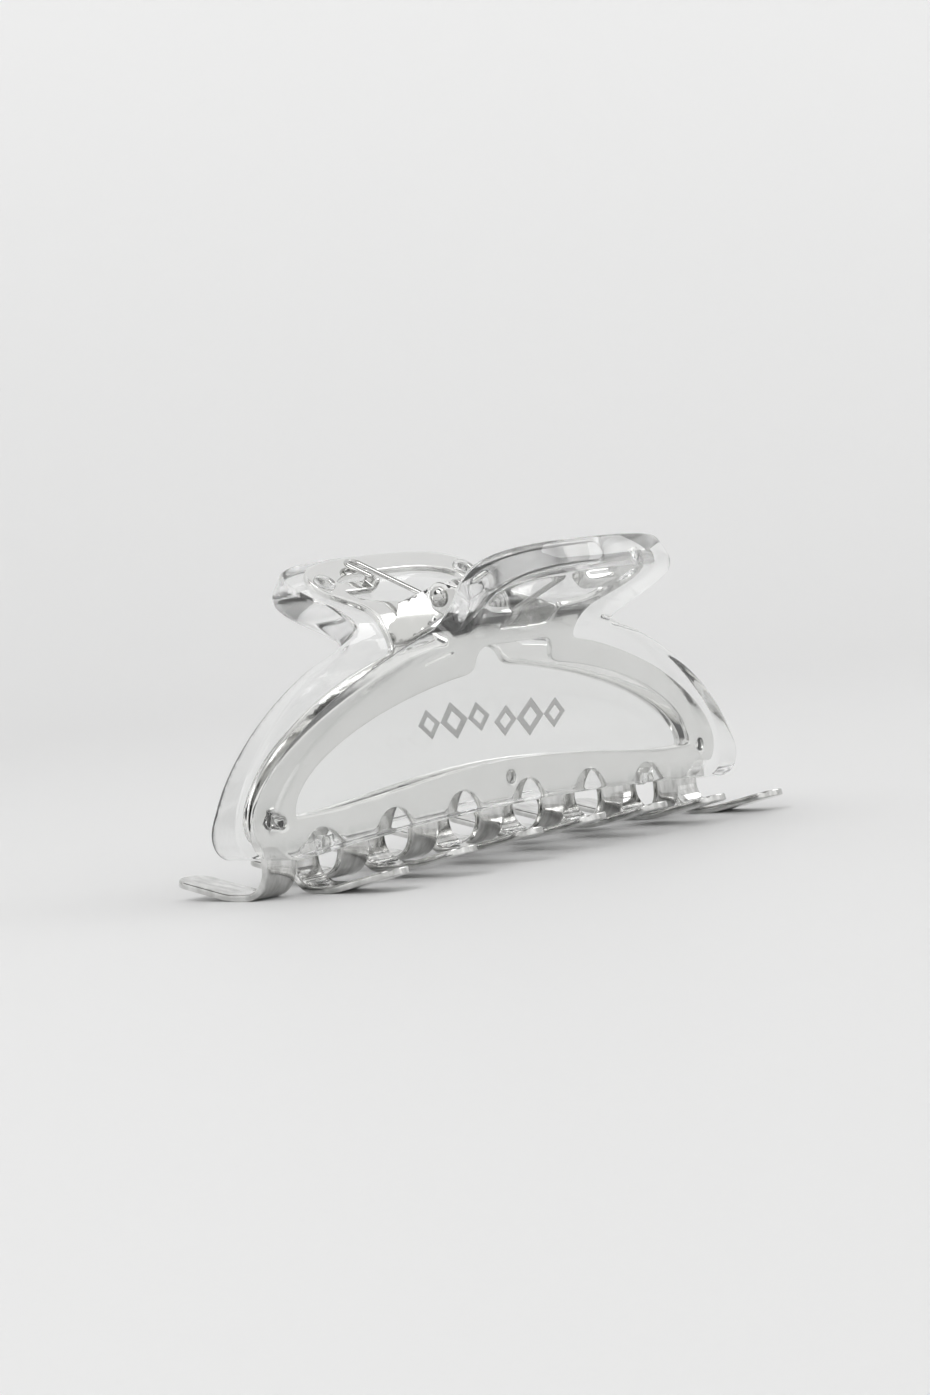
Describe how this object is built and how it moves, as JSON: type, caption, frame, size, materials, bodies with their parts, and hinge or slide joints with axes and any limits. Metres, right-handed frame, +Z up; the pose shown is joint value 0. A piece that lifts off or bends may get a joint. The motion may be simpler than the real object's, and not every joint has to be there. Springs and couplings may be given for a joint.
{
  "type": "claw hair clip",
  "caption": "Claw hair clip: two hinged jaws of stamped polished steel with curled interlocking teeth, thick clear plastic shells, a rivet pin and a torsion spring.",
  "frame": {"origin": "centre of the clip's footprint on the surface that its end teeth stand on, midway between the jaws", "axes": "+X along the jaws and the hinge pin, +Y from the front jaw to the rear jaw, +Z up from the teeth to the handles"},
  "size_m": [0.103, 0.048, 0.0439],
  "materials": {
    "polished_steel": "bright nickel plated, stamped sheet",
    "clear_plastic": "clear, polished, moulded",
    "silver_print": "matt silver foil print",
    "pin_steel": "bright plated rivet",
    "spring_steel": "bright drawn wire"
  },
  "bodies": {
    "front_jaw": {"front_frame": "polished_steel", "front_shell": "clear_plastic", "front_motif": "silver_print", "hinge_pin": "pin_steel", "torsion_spring": "spring_steel"},
    "rear_jaw": {"rear_frame": "polished_steel", "rear_shell": "clear_plastic", "rear_motif": "silver_print"}
  },
  "joints": [
    {"name": "jaw_hinge", "type": "hinge", "parent": "front_jaw", "child": "rear_jaw", "pos_m": [0, 0, 0.0371], "axis": [1, 0, 0], "range_deg": [0, 50], "stiffness_Nm_per_rad": 0.12, "springref_deg": -51.57, "deforming": ["torsion_spring"]}
  ]
}
